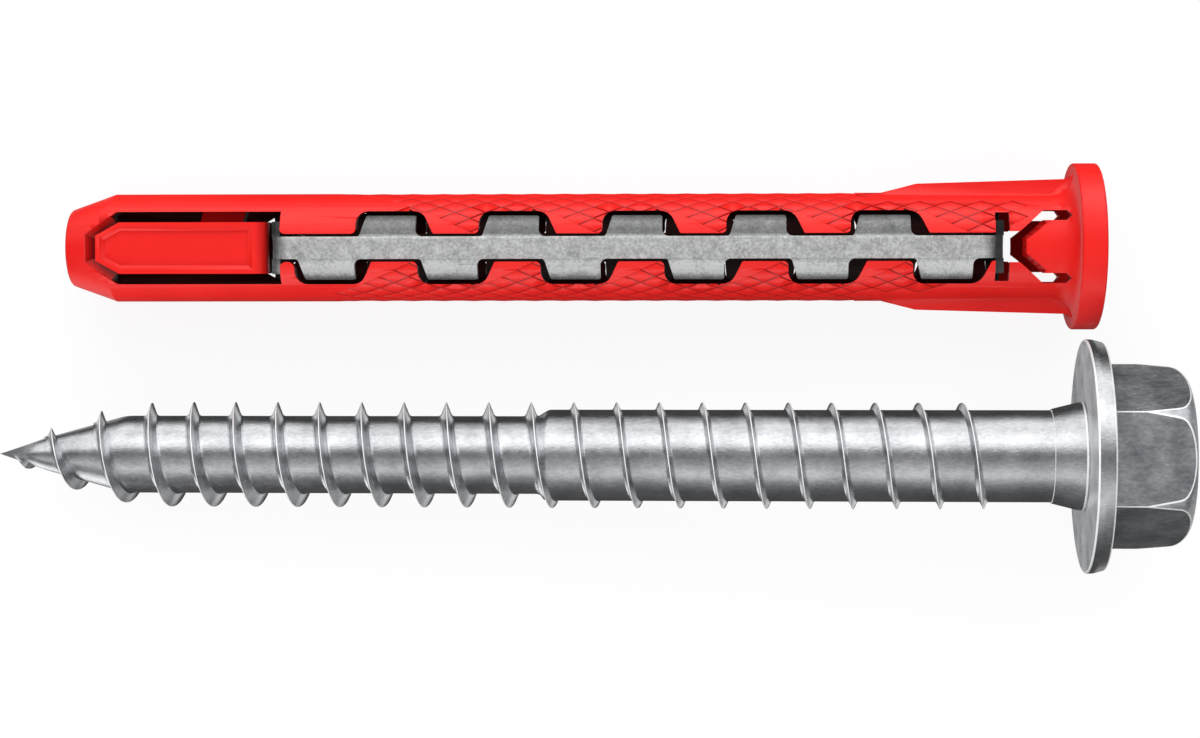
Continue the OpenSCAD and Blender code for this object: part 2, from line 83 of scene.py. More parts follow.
def laying_matrix(place):
    """Lays a piece that is built along X, in millimetres, at its place in metres."""
    x, y, z = place["at"]
    size = Matrix.Scale(MM, 4)
    return Matrix.Translation((x * MM, y * MM, z * MM)) @ turn_of(place).to_matrix().to_4x4() @ size


print("the screw lies at a tilt of", SCREW_PLACE["tilt"], "degrees")

# %% [markdown]
# ## Finishes
# The object is made of moulded red nylon, hot galvanised sheet and zinc plated steel. Pictures wrapped
# round the pieces could show that, but they would need UV maps, which a solid model doesn't have. So
# each finish is built from nodes that read Object coordinates, and its grain stays on the piece in every
# view. Some finishes also paint shade or highlights onto the pieces, and say so where they do. The
# finishes come before the pieces, because an edge that gets the painted highlight is easiest to find
# while a piece still lies along X. First come small helpers, one for each kind of node.

# %% Helpers to start a finish


def new_finish(name):
    """A material with its node tree, its shader and its Object coordinates."""
    material = bpy.data.materials.new(name)
    material.use_nodes = True
    tree = material.node_tree
    shader = tree.nodes["Principled BSDF"]
    coords = tree.nodes.new("ShaderNodeTexCoord")
    return material, tree, shader, coords.outputs["Object"]


def turned_to(tree, vector, place):
    """Object coordinates turned and centred on a laid piece's own axis, in millimetres."""
    node = tree.nodes.new("ShaderNodeMapping")
    node.vector_type = "TEXTURE"
    node.inputs["Location"].default_value = [value * MM for value in place["at"]]
    node.inputs["Rotation"].default_value = turn_of(place)
    node.inputs["Scale"].default_value = (MM, MM, MM)
    tree.links.new(vector, node.inputs["Vector"])
    return node.outputs["Vector"]


# %% Helpers for patterns, mixes and bumps


def noise_of(tree, vector, scale, detail=4.0, roughness=0.5):
    """A noise texture on a vector."""
    node = tree.nodes.new("ShaderNodeTexNoise")
    node.inputs["Scale"].default_value = scale
    node.inputs["Detail"].default_value = detail
    node.inputs["Roughness"].default_value = roughness
    tree.links.new(vector, node.inputs["Vector"])
    return node.outputs["Fac"]


def ramp_of(tree, value, stops):
    """A colour ramp with stops of a place and a colour."""
    node = tree.nodes.new("ShaderNodeValToRGB")
    ramp = node.color_ramp
    while len(ramp.elements) < len(stops):
        ramp.elements.new(0.5)
    for element, (place, colour) in zip(ramp.elements, stops):
        element.position = place
        element.color = (*colour, 1.0)
    tree.links.new(value, node.inputs["Fac"])
    return node.outputs["Color"]


def mix_of(tree, share, first, second, blend="MIX"):
    """Mixes two colours by a share."""
    node = tree.nodes.new("ShaderNodeMix")
    node.data_type = "RGBA"
    node.blend_type = blend
    # A mix node has sockets for each kind of data, and these are the colours' own.
    tree.links.new(share, node.inputs[0])
    tree.links.new(first, node.inputs[6])
    tree.links.new(second, node.inputs[7])
    return node.outputs[2]


def bump_of(tree, shader, height, strength, distance):
    """A bump from a height into the shader's normal."""
    node = tree.nodes.new("ShaderNodeBump")
    node.inputs["Strength"].default_value = strength
    node.inputs["Distance"].default_value = distance
    tree.links.new(height, node.inputs["Height"])
    tree.links.new(node.outputs["Normal"], shader.inputs["Normal"])
    return node


# %% Helpers for sums and fades


def math_of(tree, first, second, operation="ADD"):
    """Adds two values, or joins them in another way."""
    node = tree.nodes.new("ShaderNodeMath")
    node.operation = operation
    tree.links.new(first, node.inputs[0])
    tree.links.new(second, node.inputs[1])
    return node.outputs["Value"]


def range_of(tree, value, low, high, start=0.0, end=1.0):
    """Maps a value from start..end to low..high."""
    node = tree.nodes.new("ShaderNodeMapRange")
    node.inputs["From Min"].default_value = start
    node.inputs["From Max"].default_value = end
    node.inputs["To Min"].default_value = low
    node.inputs["To Max"].default_value = high
    tree.links.new(value, node.inputs["Value"])
    return node.outputs["Result"]


def fade_of(tree, value, span, low=0.0, high=1.0):
    """Goes from low to high where a value crosses a span."""
    return range_of(tree, value, low, high, *span)


def squares(span):
    """The squares of a span, for a distance that is kept squared."""
    return [value ** 2 for value in span]


# %% [markdown]
# ## Red nylon
# The real sleeve is moulded in one strong red. Its skin is bright, but its grooves and its bore lie in
# shade and look nearly black. Light alone would leave them too bright, because red walls light each
# other. So the finish paints that shade: it measures how far a point lies from the sleeve's own axis,
# and gets darker with depth. The inside of the collar and the nose's web get a lighter painted shade,
# and the rounded end of the nose's tongue gets a painted shade of its own. The nose is a cone, so there
# the depth is counted from the cone. Faint clouds keep the skin from being one flat colour.

# %% Name the nylon's colours, its painted shade, and where they change
RED = ((0.81, 0.008, 0.006), (0.88, 0.013, 0.009))
# Painted shade by distance from the sleeve's axis, in millimetres: darkest far inside the bore, and dark
# on the floor of the grooves.
RED_PAINTED_SHADE = [
    (3.9, (0.03, 0.0004, 0.0004)), (4.3, (0.07, 0.0009, 0.0009)), (4.66, (0.18, 0.002, 0.002)),
    (4.80, (0.30, 0.004, 0.004)), (4.84, (0.20, 0.003, 0.003)),
]
# A lighter painted shade, for the inside of the collar and for the web in the nose.
SHALLOW_PAINTED_SHADE = ((0.30, 0.003, 0.003), (0.40, 0.005, 0.004))
NOSE_TIP_R = 3.5
NOSE_CONE_L = 4.15
# Each pair is where a change of colour or of painted shade begins and where it ends, in millimetres.
SKIN_FADE = (4.84, 4.93)
NOSE_FADE = (19.7, 20.0)
COLLAR_FADE = (85.3, 86.0)
WEB_FADE = (2.6, 2.85)
NOSE_TOP_FADE = (3.0, 3.9)
TONGUE_END_FADE = (17.7, 18.9)
TONGUE_SIDE_FADE = (2.5, 2.6)
# How much of the lighter painted shade the web gets, and how dark the painted shade on the tongue's
# rounded end is.
WEB_SHADE_SHARE = 0.8
TONGUE_END_SHADE = 0.8
NYLON_ROUGH = (0.34, 0.44)
# A noise's scale is in cells a metre. A bump is a strength and a depth in metres.
NYLON_CLOUD = {"scale": 160, "detail": 3}
NYLON_GRAIN = {"scale": 4200, "detail": 2}
NYLON_BUMP = (0.1, 0.00003)
print("the nylon is darkest within", RED_PAINTED_SHADE[0][0], "mm of the sleeve's axis")

# %% Mix the red nylon


def red_nylon(name, gloss):
    """Moulded nylon: strong red with faint flow clouds, and painted shade in its grooves and far inside.
    """
    material, tree, shader, coords = new_finish(name)
    cloud = noise_of(tree, coords, **NYLON_CLOUD)
    outside = ramp_of(tree, cloud, [(0.3, RED[0]), (0.7, RED[1])])
    shallow_shade = ramp_of(tree, cloud, [(0.3, SHALLOW_PAINTED_SHADE[0]), (0.7, SHALLOW_PAINTED_SHADE[1])])
    own = tree.nodes.new("ShaderNodeSeparateXYZ")
    tree.links.new(turned_to(tree, coords, SLEEVE_PLACE), own.inputs["Vector"])
    along = own.outputs["X"]
    across = math_of(tree, own.outputs["Y"], own.outputs["Y"], "MULTIPLY")
    height = math_of(tree, own.outputs["Z"], own.outputs["Z"], "MULTIPLY")
    cone_lift = fade_of(tree, along, (0.0, NOSE_CONE_L), TUBE_R ** 2 - NOSE_TIP_R ** 2, 0.0)
    depth = math_of(tree, math_of(tree, across, height), cone_lift)
    skin_r = SKIN_FADE[1]
    share = fade_of(tree, depth, (0.0, skin_r ** 2))
    # Painted shade that darkens the further a point lies inside the skin.
    deep_shade = ramp_of(tree, share, [((radius / skin_r) ** 2, colour) for radius, colour in RED_PAINTED_SHADE])

    # The collar's inside and the nose's web take the lighter painted shade.
    in_nose = fade_of(tree, along, NOSE_FADE, 1.0, 0.0)
    in_collar = fade_of(tree, along, COLLAR_FADE)
    web_shade_share = math_of(tree, fade_of(tree, height, squares(WEB_FADE), 0.0, WEB_SHADE_SHARE), in_nose, "MULTIPLY")
    inside = mix_of(tree, math_of(tree, in_collar, web_shade_share, "MAXIMUM"), deep_shade, shallow_shade)

    on_skin = fade_of(tree, depth, squares(SKIN_FADE))
    nose_top = math_of(tree, fade_of(tree, height, squares(NOSE_TOP_FADE)), in_nose, "MULTIPLY")
    # Painted shade on the rounded end of the nose's tongue, which turns away from the lamps.
    at_end = fade_of(tree, along, TONGUE_END_FADE, 0.0, TONGUE_END_SHADE)
    in_middle = fade_of(tree, across, squares(TONGUE_SIDE_FADE), 1.0, 0.0)
    tongue_end_shade = math_of(tree, math_of(tree, at_end, in_middle, "MULTIPLY"), in_nose, "MULTIPLY")
    lit = math_of(tree, math_of(tree, on_skin, nose_top, "MAXIMUM"), tongue_end_shade, "SUBTRACT")
    tree.links.new(mix_of(tree, lit, inside, outside), shader.inputs["Base Color"])
    tree.links.new(range_of(tree, cloud, *NYLON_ROUGH), shader.inputs["Roughness"])
    shader.inputs["Specular IOR Level"].default_value = gloss
    bump_of(tree, shader, noise_of(tree, coords, **NYLON_GRAIN), *NYLON_BUMP)
    return material


red = red_nylon("red_nylon", 0.28)
# A copy of the red with almost no gloss: painted shade, so that faces inside the sleeve show no sheen.
red_shaded_inside = red_nylon("red_nylon_shaded_inside", 0.02)
print("nylon finishes:", red.name, "and", red_shaded_inside.name)

# %% [markdown]
# ## Galvanised sheet
# The strips are punched from hot galvanised sheet, which is matt grey with a fine mottle. The tabs bend
# down at the sides, and the bent ends stand in the dark of the sleeve. A ramp across the strip's width
# paints the highlights and shade that the tabs and their bends catch, two fades along it paint the shade
# on the bent ends, and two noises break it up. The faces that look into the bore get a second finish of
# the same kind, with a much darker painted shade and a painted reflection of the red.

# %% Name the sheet's tones
# Painted highlight and shade across the sheet's width, from one edge to the other in millimetres.
SHEET_LIGHT_AND_SHADE = [
    (-3.0, 0.1), (-2.7, 0.35), (-2.2, 1.0), (-1.5, 0.95), (-1.1, 0.7), (-0.9, 0.74),
    (0.95, 0.68), (1.3, 0.21), (1.7, 0.20), (2.3, 0.3), (2.7, 0.17), (3.0, 0.06),
]
SHEET_HALF_W = 3.0
# Where the painted shade on each bent end starts and ends along the strip, and how dark it gets.
NEAR_END_SHADE_FADE = (19.6, 20.9)
FAR_END_SHADE_FADE = (84.2, 85.2)
SHEET_END_SHADE = (0.16, 0.08)
CLOUD_TONES = (0.72, 1.32)
SPECK_TONES = (0.82, 1.18)
NOISE_SPAN = (0.3, 0.7)
DARKEST_SHEET = (0.005, 0.006, 0.006)
SHEET_METAL = 0.55
SHEET_ROUGH = (0.34, 0.55)
SHEET_CLOUD = {"scale": 900, "detail": 7, "roughness": 0.75}
SHEET_SPECK = {"scale": 3600, "detail": 3, "roughness": 0.6}
SHEET_BUMP = (0.25, 0.00004)
print("the sheet has", len(SHEET_LIGHT_AND_SHADE), "tones across its width")

# %% Mix the galvanised sheet


def galvanised(name, brightest, gloss):
    """Hot galvanised sheet: grey, matt, with fine specks, and with painted highlights and shade across
    its width and on its bent ends.
    """
    material, tree, shader, coords = new_finish(name)
    shader.inputs["Metallic"].default_value = SHEET_METAL
    shader.inputs["Specular IOR Level"].default_value = gloss
    own = tree.nodes.new("ShaderNodeSeparateXYZ")
    tree.links.new(turned_to(tree, coords, SLEEVE_PLACE), own.inputs["Vector"])
    # One on the strip above and minus one on the strip below, which is turned half round.
    outward = range_of(tree, own.outputs["Z"], -1.0, 1.0, -0.01, 0.01)
    sideways = math_of(tree, own.outputs["Y"], outward, "MULTIPLY")
    across = fade_of(tree, sideways, (-SHEET_HALF_W, SHEET_HALF_W))
    # Painted highlight and shade across the width: the tabs on one side bright, those on the other side
    # and the edges darker.
    light_and_shade = ramp_of(tree, across, [
        ((y + SHEET_HALF_W) / SHEET_HALF_W / 2, (tone,) * 3) for y, tone in SHEET_LIGHT_AND_SHADE])
    # Painted shade on both bent ends, which stand in the dark of the sleeve.
    near_end_shade = fade_of(tree, own.outputs["X"], NEAR_END_SHADE_FADE, SHEET_END_SHADE[0], 1.0)
    far_end_shade = fade_of(tree, own.outputs["X"], FAR_END_SHADE_FADE, 1.0, SHEET_END_SHADE[1])
    ends = math_of(tree, near_end_shade, far_end_shade, "MULTIPLY")
    cloud = noise_of(tree, coords, **SHEET_CLOUD)
    speck = noise_of(tree, coords, **SHEET_SPECK)
    clouds = fade_of(tree, cloud, NOISE_SPAN, *CLOUD_TONES)
    specks = fade_of(tree, speck, NOISE_SPAN, *SPECK_TONES)
    mottle = math_of(tree, clouds, specks, "MULTIPLY")
    tone = math_of(tree, math_of(tree, light_and_shade, mottle, "MULTIPLY"), ends, "MULTIPLY")
    colour = ramp_of(tree, tone, [(0.0, DARKEST_SHEET), (1.0, brightest)])
    tree.links.new(colour, shader.inputs["Base Color"])
    tree.links.new(range_of(tree, speck, *SHEET_ROUGH), shader.inputs["Roughness"])
    bump_of(tree, shader, speck, *SHEET_BUMP)
    return material


sheet_grey = galvanised("galvanised_strip", (0.93, 0.94, 0.94), 0.5)
# A dark copy of the sheet for the faces that look into the bore: painted shade, tinged red as a painted
# reflection of the nylon.
sheet_shaded_inside = galvanised("galvanised_strip_shaded_inside", (0.05, 0.02, 0.018), 0.05)
print("sheet finishes:", sheet_grey.name, "and", sheet_shaded_inside.name)

# %% [markdown]
# ## Zinc plating
# Bright zinc is nearly a mirror, so most of its look comes from the room.
# The finish adds what is fine: specks drawn out along the wire, soft patches
# of more and less gloss, and a slight unevenness that breaks up the bands.
# The head is pressed, so its faces are rougher than the rolled shank. The edges get a paler finish, less
# like a mirror, which paints the bright highlight along them.

# %% Mix the zinc finishes
DRAWN_OUT = (0.5, 1.0, 1.0)
ZINC_SPECK = {"scale": 3200, "detail": 7, "roughness": 0.8}
ZINC_PATCH = {"scale": 330, "detail": 3, "roughness": 0.55}
ZINC_BUMP = (0.4, 0.00005)
ZINC_SPAN = (0.75, 1.25)


def zinc_finish(name, low, high, rough, metal=1.0):
    """Zinc plating: a cool shine that specks and soft patches break up."""
    material, tree, shader, coords = new_finish(name)
    shader.inputs["Metallic"].default_value = metal
    drawn = tree.nodes.new("ShaderNodeMapping")
    drawn.inputs["Scale"].default_value = DRAWN_OUT
    tree.links.new(coords, drawn.inputs["Vector"])
    speck = noise_of(tree, drawn.outputs["Vector"], **ZINC_SPECK)
    patch = noise_of(tree, coords, **ZINC_PATCH)
    both = math_of(tree, speck, patch)
    tone = ramp_of(tree, fade_of(tree, both, ZINC_SPAN), [(0.0, low), (1.0, high)])
    tree.links.new(tone, shader.inputs["Base Color"])
    tree.links.new(fade_of(tree, both, ZINC_SPAN, *rough), shader.inputs["Roughness"])
    bump_of(tree, shader, speck, *ZINC_BUMP)
    return material


zinc = zinc_finish(
    "zinc_plated_screw", (0.48, 0.495, 0.515), (0.80, 0.81, 0.83), (0.10, 0.22))
pressed_zinc = zinc_finish(
    "zinc_pressed_flange", (0.42, 0.44, 0.46), (0.74, 0.76, 0.78), (0.26, 0.40), metal=0.7)
hexagon_zinc = zinc_finish(
    "zinc_pressed_hexagon", (0.30, 0.32, 0.35), (0.76, 0.78, 0.80), (0.18, 0.28), metal=0.95)
# A pale zinc, less like a mirror, that paints the bright highlight along edges and crests.
edge_highlight_zinc = zinc_finish(
    "zinc_painted_edge_highlight", (0.86, 0.87, 0.88), (0.97, 0.97, 0.97), (0.28, 0.4), metal=0.4)
print("all finishes:", sorted(material.name for material in bpy.data.materials))

# %% [markdown]
# ## A few habits
# The pieces come next. An operator works on whatever is selected, so each
# step first clears the selection. Faces are then picked by their place, as a
# hand with a mouse would, but in a way that gives the same result each time.

# %% Helpers to select


def only(piece):
    """Makes one object the only selected one, and the active one."""
    if bpy.context.object and bpy.context.object.mode != "OBJECT":
        bpy.ops.object.mode_set(mode="OBJECT")
    bpy.ops.object.select_all(action="DESELECT")
    piece.select_set(True)
    bpy.context.view_layer.objects.active = piece
    return piece


def pick(piece, kind, test):
    """In edit mode, selects the vertices, edges or faces that pass a test."""
    bpy.ops.object.mode_set(mode="EDIT")
    bpy.ops.mesh.select_mode(type=kind)
    bpy.ops.mesh.select_all(action="DESELECT")
    bpy.ops.object.mode_set(mode="OBJECT")
    mesh = piece.data
    items = {"VERT": mesh.vertices, "EDGE": mesh.edges, "FACE": mesh.polygons}[kind]
    count = 0
    for item in items:
        item.select = bool(test(item))
        count += item.select
    bpy.ops.object.mode_set(mode="EDIT")
    return count


# %% Helpers to change and place a mesh


def copy_of_node(name, new_name):
    """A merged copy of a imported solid, which may be changed."""
    node = frame["nodes"][name]
    piece = node.copy()
    piece.data = node.data.copy()
    piece.name = new_name
    bpy.context.scene.collection.objects.link(piece)
    only(piece)
    bpy.ops.object.mode_set(mode="EDIT")
    bpy.ops.mesh.select_all(action="SELECT")
    bpy.ops.mesh.remove_doubles(threshold=1e-7)
    bpy.ops.object.mode_set(mode="OBJECT")
    return piece


def apply_modifier(piece, kind, **settings):
    """Adds a modifier with its settings and applies it at once."""
    only(piece)
    modifier = piece.modifiers.new(kind.title(), kind)
    for name, value in settings.items():
        setattr(modifier, name, value)
    bpy.ops.object.modifier_apply(modifier=modifier.name)


def clean_skin(piece, gap):
    """Merges doubles and turns every face outward."""
    only(piece)
    bpy.ops.object.mode_set(mode="EDIT")
    bpy.ops.mesh.select_all(action="SELECT")
    bpy.ops.mesh.remove_doubles(threshold=gap)
    bpy.ops.mesh.normals_make_consistent(inside=False)
    bpy.ops.object.mode_set(mode="OBJECT")


def lay_down(piece, place):
    """Puts a piece at its place and writes that place into its mesh."""
    only(piece)
    piece.matrix_world = laying_matrix(place)
    bpy.ops.object.transform_apply(location=True, rotation=True, scale=True)


# %% Helpers to finish and measure a piece


def even_shading(piece, degrees):
    """Smooths the faces that meet at a small angle, and lets the large ones lead."""
    only(piece)
    bpy.ops.object.shade_smooth_by_angle(angle=math.radians(degrees))
    apply_modifier(piece, "WEIGHTED_NORMAL", keep_sharp=True)


def dress(piece, *finishes):
    """Gives a piece its finishes, of which the first is all over."""
    piece.data.materials.clear()
    for finish in finishes:
        piece.data.materials.append(finish)


def paint_faces(piece, finish, test):
    """Gives one more finish to the faces that pass a test."""
    piece.data.materials.append(finish)
    piece.active_material_index = len(piece.data.materials) - 1
    only(piece)
    count = pick(piece, "FACE", test)
    bpy.ops.object.material_slot_assign()
    bpy.ops.object.mode_set(mode="OBJECT")
    return count


def triangles(piece):
    """How many triangles a piece has."""
    return sum(len(face.vertices) - 2 for face in piece.data.polygons)


# %% [markdown]
# ## The sleeve's diamond relief
# Fine crossing lines are engraved in the outside of the sleeve, so that it
# grips the wall. They could be painted as a bump, but then the outline would
# stay smooth and the relief would be lost in a printed model. Here a flat
# grid is turned into diamonds, each diamond is inset and crowned, the sheet
# is thickened to a cutter and rolled round the tube, and a boolean takes it
# from the sleeve. The diamonds are found with a known trick: poke each square
# of a grid, and dissolve the grid's own edges.

# %% Name the relief's sizes
PITCH = 11.28
CELL_L = PITCH / 4
CELLS_ROUND = 22
CELL_TURN = 360.0 / CELLS_ROUND
CELL_W = 2 * math.pi * TUBE_R / CELLS_ROUND
CELL_COLUMNS = 24
CELL_ROWS = 10
DIAMOND_CORNER = 47.41
CELLS_BEFORE = 9
RELIEF_START = DIAMOND_CORNER - CELLS_BEFORE * CELL_L
GROOVE_R = 4.84
GROOVE_HALF_W = 0.1
SCALE_RISE = 0.1
CROWN_RISE = 0.045
CUTTER_T = 2.3
NEAR_ENOUGH = 0.01
SAME_HEIGHT = 0.002
print("diamonds of", round(CELL_L, 2), "by", round(CELL_W, 2), "mm")

# %% Name the places without relief
# A spine is the line midway between the two openings. On each side of it, the
# relief has its own start and end along the sleeve, in millimetres. A turn is
# in degrees from the spine, and is positive on the half ahead.
HALF_AHEAD = {
    "start": 26.0, "lag": 9.0, "end": 90.5, "end_lag": 0.06, "fin_turn": 34.0, "tooth": 44.58}
HALF_BEHIND = {
    "start": 23.0, "lag": 7.0, "end": 80.5, "end_lag": 0.0, "fin_turn": 36.0, "tooth": 38.93}
LAG_TURN = 75.0
FIN_START = 73.0
SMOOTH_TURN = 50.0
SMOOTH_EDGE_TURN = 49.1
SMOOTH_GAP = 0.1
SMOOTH_LEAD = 1.9
print("the relief starts", HALF_AHEAD["start"], "and", HALF_BEHIND["start"], "mm from the tip")

# %% Say which diamonds the mould has


def has_relief(along, turn):
    """True for a diamond that is engraved, by its place along and its turn from the spine."""
    half = HALF_AHEAD if turn > 0 else HALF_BEHIND
    steep = abs(turn)
    before_start = along < half["start"] + half["lag"] * steep / LAG_TURN
    past_end = along > half["end"] - half["end_lag"] * steep
    under_fin = along > FIN_START and steep < half["fin_turn"]
    beside_tooth = (along - half["tooth"]) % PITCH
    smooth_edge = (steep - SMOOTH_EDGE_TURN) * CELL_L / CELL_TURN - SMOOTH_GAP
    in_patch = beside_tooth < smooth_edge or beside_tooth > PITCH - SMOOTH_LEAD
    on_smooth_patch = steep > SMOOTH_TURN and in_patch
    return not (before_start or past_end or under_fin or on_smooth_patch)


# %% Make a flat sheet of diamonds


def edge_ends(piece, edge):
    """The two end points of an edge."""
    vertices = piece.data.vertices
    return vertices[edge.vertices[0]].co, vertices[edge.vertices[1]].co


def diamond_sheet():
    """A flat sheet of diamonds, one for each cell of the relief."""
    bpy.ops.object.select_all(action="DESELECT")
    bpy.ops.mesh.primitive_grid_add(x_subdivisions=CELL_COLUMNS, y_subdivisions=CELL_ROWS, size=1)
    sheet = bpy.context.object
    sheet.scale = (CELL_COLUMNS * CELL_L, CELL_ROWS * CELL_W, 1)
    sheet.location = (RELIEF_START + CELL_COLUMNS * CELL_L / 2, 0, 0)
    bpy.ops.object.transform_apply(location=True, rotation=True, scale=True)
    x_low = RELIEF_START
    x_high = RELIEF_START + CELL_COLUMNS * CELL_L
    y_high = CELL_ROWS * CELL_W / 2
    pick(sheet, "FACE", lambda face: True)
    bpy.ops.mesh.poke()
    bpy.ops.object.mode_set(mode="OBJECT")

    def grid_edge(edge):
        a, b = edge_ends(sheet, edge)
        straight = min(abs(a.x - b.x), abs(a.y - b.y)) < NEAR_ENOUGH
        middle = (a + b) / 2
        at_side = abs(middle.y) > y_high - NEAR_ENOUGH
        at_end = middle.x < x_low + NEAR_ENOUGH or middle.x > x_high - NEAR_ENOUGH
        return straight and not at_side and not at_end

    pick(sheet, "EDGE", grid_edge)
    bpy.ops.mesh.dissolve_edges()
    bpy.ops.object.mode_set(mode="OBJECT")
    return sheet


# %% Trim it, crown its diamonds and roll it up


def trim_sheet(sheet):
    """Deletes the diamonds that the mould doesn't have."""
    to_turn = CELL_TURN / CELL_W
    pick(sheet, "FACE", lambda face: not has_relief(face.center.x, face.center.y * to_turn))
    bpy.ops.mesh.delete(type="FACE")
    bpy.ops.object.mode_set(mode="OBJECT")
    print("diamonds engraved on one spine:", len(sheet.data.polygons))


def crown_sheet(sheet):
    """Thickens the sheet to a cutter, and insets and crowns each diamond of its underside."""
    pick(sheet, "FACE", lambda face: True)
    bpy.ops.mesh.extrude_region_move(TRANSFORM_OT_translate={"value": (0, 0, CUTTER_T)})
    bpy.ops.object.mode_set(mode="OBJECT")
    pick(sheet, "FACE", lambda face: abs(face.center.z) < NEAR_ENOUGH)
    bpy.ops.mesh.inset(thickness=GROOVE_HALF_W, depth=-SCALE_RISE, use_individual=True)
    bpy.ops.object.mode_set(mode="OBJECT")
    pick(sheet, "FACE", lambda face: abs(face.center.z - SCALE_RISE) < SAME_HEIGHT)
    bpy.ops.mesh.poke(offset=-CROWN_RISE)
    bpy.ops.object.mode_set(mode="OBJECT")


def roll_sheet(sheet, spine):
    """Rolls the flat cutter round the tube: its Y becomes a turn, its Z a radius."""
    for vertex in sheet.data.vertices:
        x, y, z = vertex.co
        turn = y / TUBE_R + spine
        radius = GROOVE_R + z
        vertex.co = (x, radius * math.cos(turn), radius * math.sin(turn))
    clean_skin(sheet, gap=0.001)


# %% Cut the relief out of a copy of the sleeve
SPINES = (0.0, math.pi)
sleeve = copy_of_node("sleeve", "sleeve_with_relief")
for spine in SPINES:
    cutter = diamond_sheet()
    trim_sheet(cutter)
    crown_sheet(cutter)
    roll_sheet(cutter, spine)
    lay_down(cutter, SLEEVE_PLACE)
    apply_modifier(sleeve, "BOOLEAN", operation="DIFFERENCE", solver="EXACT", object=cutter)
    bpy.data.objects.remove(cutter)
even_shading(sleeve, degrees=22)
print("sleeve:", triangles(sleeve), "triangles")

# %% Give the sleeve its red, and the shaded copy of it on the faces inside
SLEEVE_TO_OWN = laying_matrix(SLEEVE_PLACE).inverted()
SKIN_T = 0.35
NOSE_FACE_L = 0.5


def inner_face(face):
    """True for a face that lies deeper than the sleeve's skin."""
    own = SLEEVE_TO_OWN @ face.center
    outside = min(TUBE_R, NOSE_TIP_R + (TUBE_R - NOSE_TIP_R) * own.x / NOSE_CONE_L)
    on_nose_top = own.x < NOSE_FADE[1] and abs(own.z) > NOSE_TOP_FADE[0]
    deep_shade = math.hypot(own.y, own.z) < outside - SKIN_T
    return deep_shade and not on_nose_top and own.x > NOSE_FACE_L


# The faces below the skin get the copy without gloss, as painted shade.
dress(sleeve, red)
print("inner faces:", paint_faces(sleeve, red_shaded_inside, inner_face))

# %% [markdown]
# ## The steel strips
# Each strip is punched from galvanised sheet, with tabs to both sides that lie
# in the sleeve's pockets, and its ends are bent inward. It could be cut from
# a plane and given thickness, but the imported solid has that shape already,
# so a copy of it only gets a smooth shading on its bends. The tabs of the
# strip below also reach a little closer to their pockets' ends, so that
# hardly any floor shows through both walls of the sleeve.

# %% Name the sizes of the strips' tabs
BAND_HALF_W = 1.02
TAB_REACH = 1.9
FIRST_POCKET_AT = 21.43
POCKET_MIDDLE = 3.2
# How far a tab's two flanks move out, at the band and at the tab's tip.
NEAR_GROWTH = (0.3, 0.74)
FAR_GROWTH = (1.2, 0.88)
TIP_GROWTH = 0.3
# Where each bent end begins, the place past which it moves along, and how far.
NEAR_EAR = {"end": 20.53, "edge": 19.67, "move": -0.95}
FAR_EAR = {"end": 84.9, "edge": 85.7, "move": 0.4}
EAR_WIDENING = 3.2 / 2.4
# A face looks into the bore, and gets the sheet's painted shade, when its normal points this much
# inward.
FACES_IN = -0.3
print("a tab reaches", TAB_REACH, "mm past the strip's band")

# %% Widen the tabs of the strip below


def grown_tab(own):
    """A point of a tab, moved toward the end of its pocket and out toward the wall."""
    first = FIRST_POCKET_AT + POCKET_MIDDLE + (0 if own.y > 0 else PITCH / 2)
    middle = first + PITCH * round((own.x - first) / PITCH)
    share = min((abs(own.y) - BAND_HALF_W) / TAB_REACH, 1.0)
    near, far = (low + (high - low) * share for low, high in (NEAR_GROWTH, FAR_GROWTH))
    own.x += far if own.x > middle else -near
    own.y += math.copysign(TIP_GROWTH * share, own.y)
    return own


def grown_ear(own, ear):
    """A point of a bent end, moved outward along the sleeve and to the side."""
    own.y *= EAR_WIDENING
    if (own.x - ear["edge"]) * ear["move"] > 0:
        own.x += ear["move"]
    return own


def fill_pockets(strip):
    """Moves the flanks of a lower strip's tabs, and its ears, closer to the sleeve."""
    laying = laying_matrix(SLEEVE_PLACE)
    to_own = laying.inverted()
    moved = 0
    for vertex in strip.data.vertices:
        own = to_own @ vertex.co
        if abs(own.y) < BAND_HALF_W:
            continue
        if own.x < NEAR_EAR["end"]:
            own = grown_ear(own, NEAR_EAR)
        elif own.x > FAR_EAR["end"]:
            own = grown_ear(own, FAR_EAR)
        else:
            own = grown_tab(own)
        vertex.co = laying @ own
        moved += 1
    return moved


# %% Finish the strips
strips = {}
for name in ("upper_expansion_strip", "lower_expansion_strip"):
    strips[name] = copy_of_node(name, name + "_sheet")
    if name.startswith("lower"):
        print("points moved:", fill_pockets(strips[name]))
    even_shading(strips[name], degrees=25)
    dress(strips[name], sheet_grey)
    outward = 1 if name.startswith("upper") else -1
    # Faces that look into the bore take the dark copy, as painted shade.
    inward = paint_faces(
        strips[name], sheet_shaded_inside, lambda face: face.normal.z * outward < FACES_IN)
    print(name + ":", triangles(strips[name]), "triangles,", inward, "of its faces look inward")


# %% [markdown]
# ## The screw's body
# The real screw is cold-headed: the head, its flange and the neck are pressed
# from the wire, and the thread is rolled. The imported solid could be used
# again, but its steps are coarse and its edges sharp. All of it except the
# hexagon is round, so a profile is drawn point by point, with small roundings,
# and spun about the axis.

